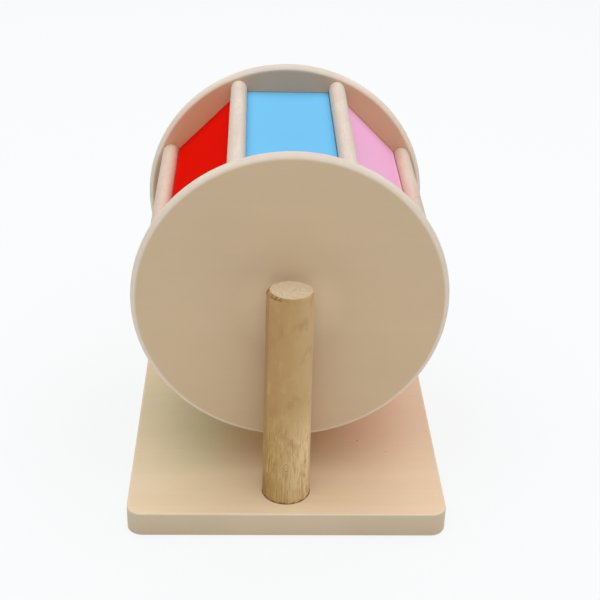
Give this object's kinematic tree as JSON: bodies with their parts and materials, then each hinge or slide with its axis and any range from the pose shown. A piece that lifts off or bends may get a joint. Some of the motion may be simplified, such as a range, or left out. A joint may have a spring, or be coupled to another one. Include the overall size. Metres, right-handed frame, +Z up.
{
  "type": "rainbow spinner",
  "caption": "Wooden baby toy: a drum of coloured panels between two round discs and wooden bars turns freely on an axle held by two posts on a flat board.",
  "frame": {"origin": "centre of the board's underside, on the floor that the toy stands on", "axes": "+X across the board to the right, +Y along the axle from the front post to the rear post, +Z up"},
  "size_m": [0.18, 0.23, 0.214],
  "materials": {
    "board_wood": "pale close-grained wood, satin clear coat, edges rounded over",
    "disc_wood": "pale close-grained wood, satin clear coat, rims rounded over",
    "dowel_wood": "pale pinkish beech with short dark flecks along the bar, satin clear coat",
    "post_wood": "darker olive-brown streaked wood with a pale end-grain top, satin clear coat",
    "spacer_wood": "plain pale wood, bare",
    "steel": "plain bright steel",
    "purple_paint": "thin board painted purple, satin",
    "pink_paint": "thin board painted pink, satin",
    "light_blue_paint": "thin board painted light blue, satin",
    "red_paint": "thin board painted red, satin",
    "green_paint": "thin board painted green, satin",
    "yellow_paint": "thin board painted yellow, satin",
    "dark_blue_paint": "thin board painted dark blue, satin",
    "orange_paint": "thin board painted orange, satin"
  },
  "bodies": {
    "stand": {"base_board": "board_wood", "front_post": "post_wood", "rear_post": "post_wood", "front_post_screw": "steel", "rear_post_screw": "steel", "axle": "steel", "front_spacer": "spacer_wood", "rear_spacer": "spacer_wood"},
    "drum": {"front_disc": "disc_wood", "rear_disc": "disc_wood", "dowel_1": "dowel_wood", "dowel_2": "dowel_wood", "dowel_3": "dowel_wood", "dowel_4": "dowel_wood", "dowel_5": "dowel_wood", "dowel_6": "dowel_wood", "dowel_7": "dowel_wood", "dowel_8": "dowel_wood", "panel_purple": "purple_paint", "panel_pink": "pink_paint", "panel_light_blue": "light_blue_paint", "panel_red": "red_paint", "panel_dark_blue": "dark_blue_paint", "panel_green": "green_paint", "panel_yellow": "yellow_paint", "panel_orange": "orange_paint"}
  },
  "joints": [
    {"name": "drum_spin", "type": "hinge", "parent": "stand", "child": "drum", "pos_m": [0, 0, 0.127], "axis": [0, 1, 0], "continuous": true}
  ]
}
